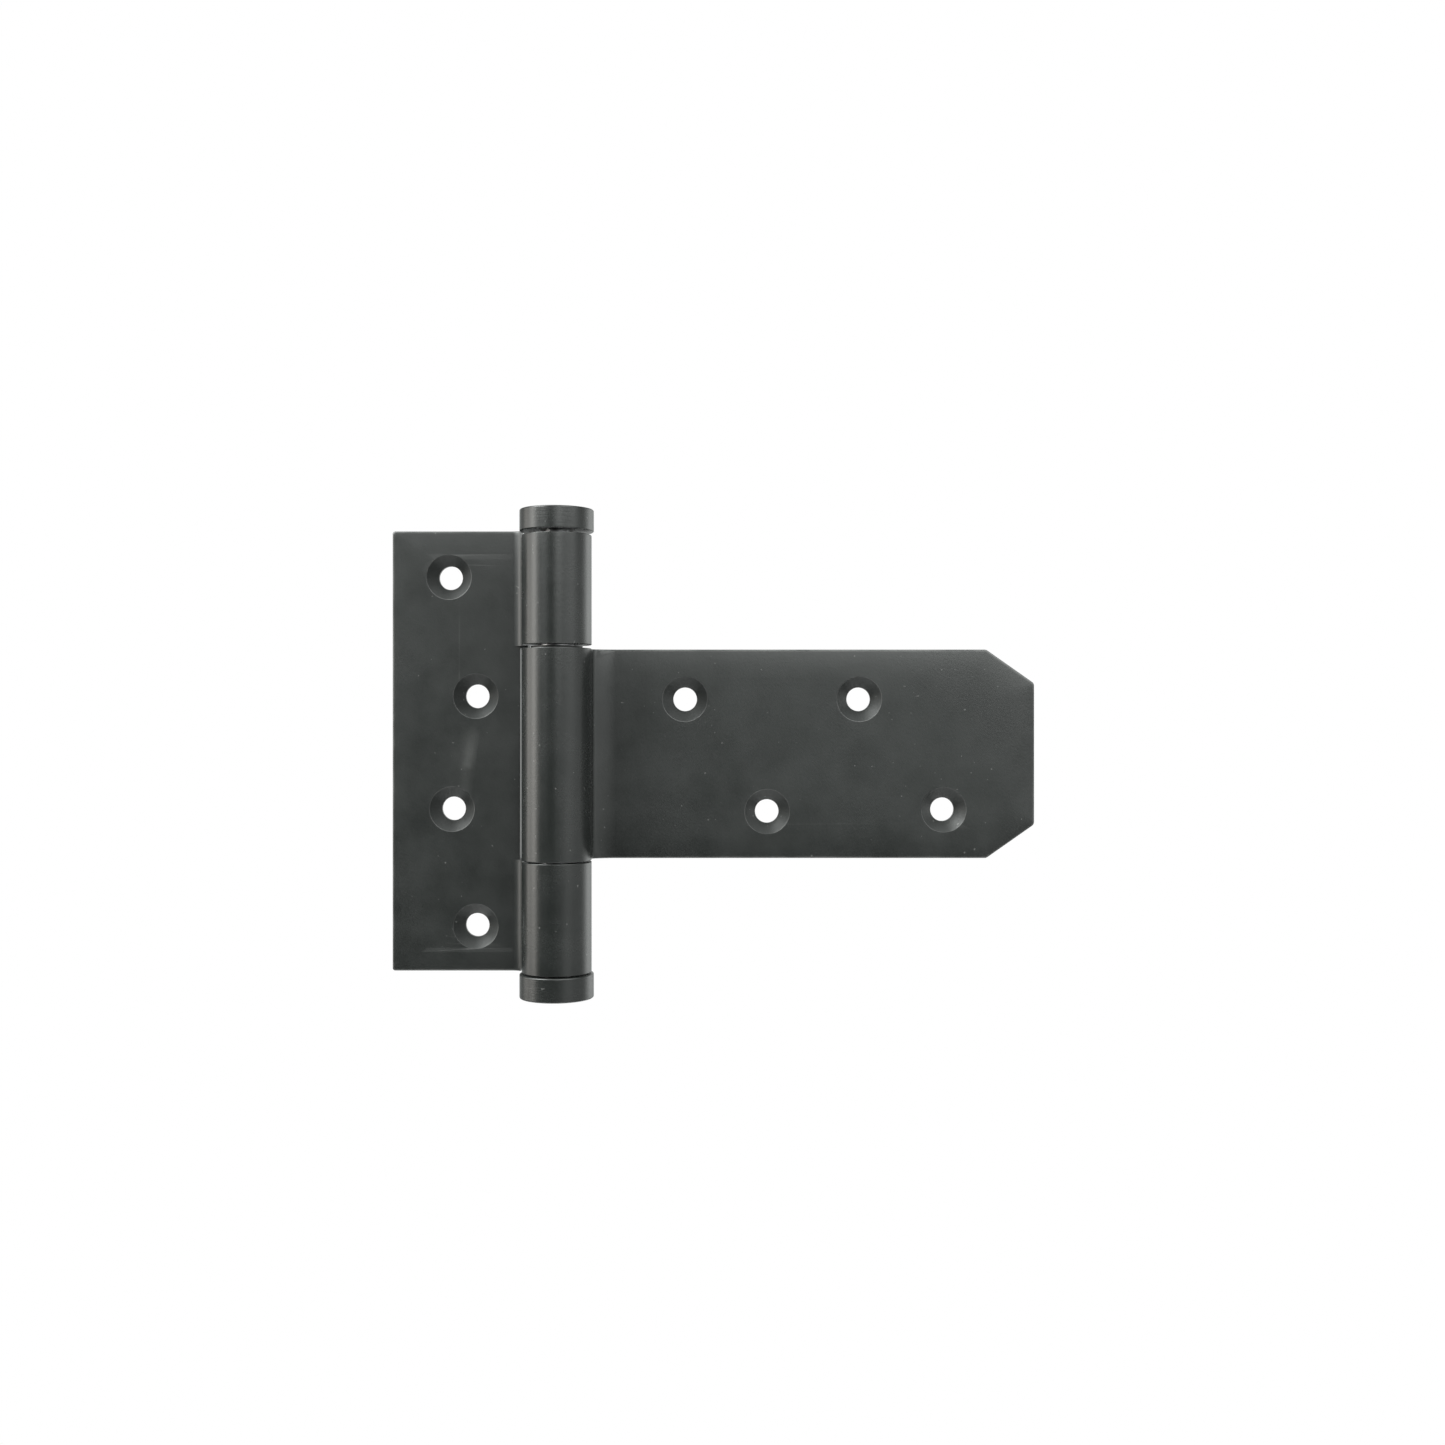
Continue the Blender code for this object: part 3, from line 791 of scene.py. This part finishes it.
def light_sum(tree, where, lights):
    """The brightness that a group of soft round lights gives in each direction."""
    total = None
    for azimuth, elevation, spread, strength in lights:
        towards = node(tree, "ShaderNodeVectorMath", operation="DOT_PRODUCT")
        tree.links.new(where, towards.inputs[0])
        towards.inputs[1].default_value = aim_at(azimuth, elevation)
        sharpness = 1 / math.radians(spread) ** 2
        fall = arithmetic(tree, "MULTIPLY_ADD", towards.outputs["Value"], sharpness, -sharpness)
        lobe = arithmetic(tree, "EXPONENT", fall)
        total = arithmetic(tree, "MULTIPLY_ADD", lobe, strength, 0.0 if total is None else total)
    return total


def make_world():
    """A white background behind the hinge, and soft round lights all about it that the camera doesn't see."""
    world = bpy.data.worlds.new("studio")
    bpy.context.scene.world = world
    world.use_nodes = True
    tree = world.node_tree
    tree.nodes.clear()
    where = node(tree, "ShaderNodeTexCoord").outputs["Generated"]
    groups = []
    for colour, lights in ((NEUTRAL_LIGHT, LIGHTS), (WARM_LIGHT, WARM_LIGHTS)):
        group = node(tree, "ShaderNodeBackground", Color=(*colour, 1.0))
        tree.links.new(light_sum(tree, where, lights), group.inputs["Strength"])
        groups.append(group.outputs["Background"])
    both = node(tree, "ShaderNodeAddShader")
    for group, socket in zip(groups, both.inputs):
        tree.links.new(group, socket)
    seen = node(tree, "ShaderNodeBackground", Color=(1.0, 1.0, 1.0, 1.0), Strength=1.0)
    mix = node(tree, "ShaderNodeMixShader")
    tree.links.new(node(tree, "ShaderNodeLightPath").outputs["Is Camera Ray"], mix.inputs["Fac"])
    tree.links.new(both.outputs["Shader"], mix.inputs[1])
    tree.links.new(seen.outputs["Background"], mix.inputs[2])
    out = node(tree, "ShaderNodeOutputWorld")
    tree.links.new(mix.outputs["Shader"], out.inputs["Surface"])


def make_floor():
    """A plain pale floor, well below the hinge."""
    mesh = bpy.data.meshes.new("floor")
    made = bmesh.new()
    bmesh.ops.create_grid(made, x_segments=1, y_segments=1, size=FLOOR_HALF_WIDTH)
    made.to_mesh(mesh)
    made.free()
    floor = bpy.data.objects.new("floor", mesh)
    bpy.context.scene.collection.objects.link(floor)
    floor.location = FLOOR_PLACE
    material = bpy.data.materials.new("floor")
    material.use_nodes = True
    shader = material.node_tree.nodes["Principled BSDF"]
    shader.inputs["Base Color"].default_value = (FLOOR_GREY, FLOOR_GREY, FLOOR_GREY, 1.0)
    shader.inputs["Roughness"].default_value = FLOOR_ROUGHNESS
    mesh.materials.append(material)


build_object()
make_camera()
make_world()
make_floor()
bpy.context.scene.view_settings.view_transform = "Standard"
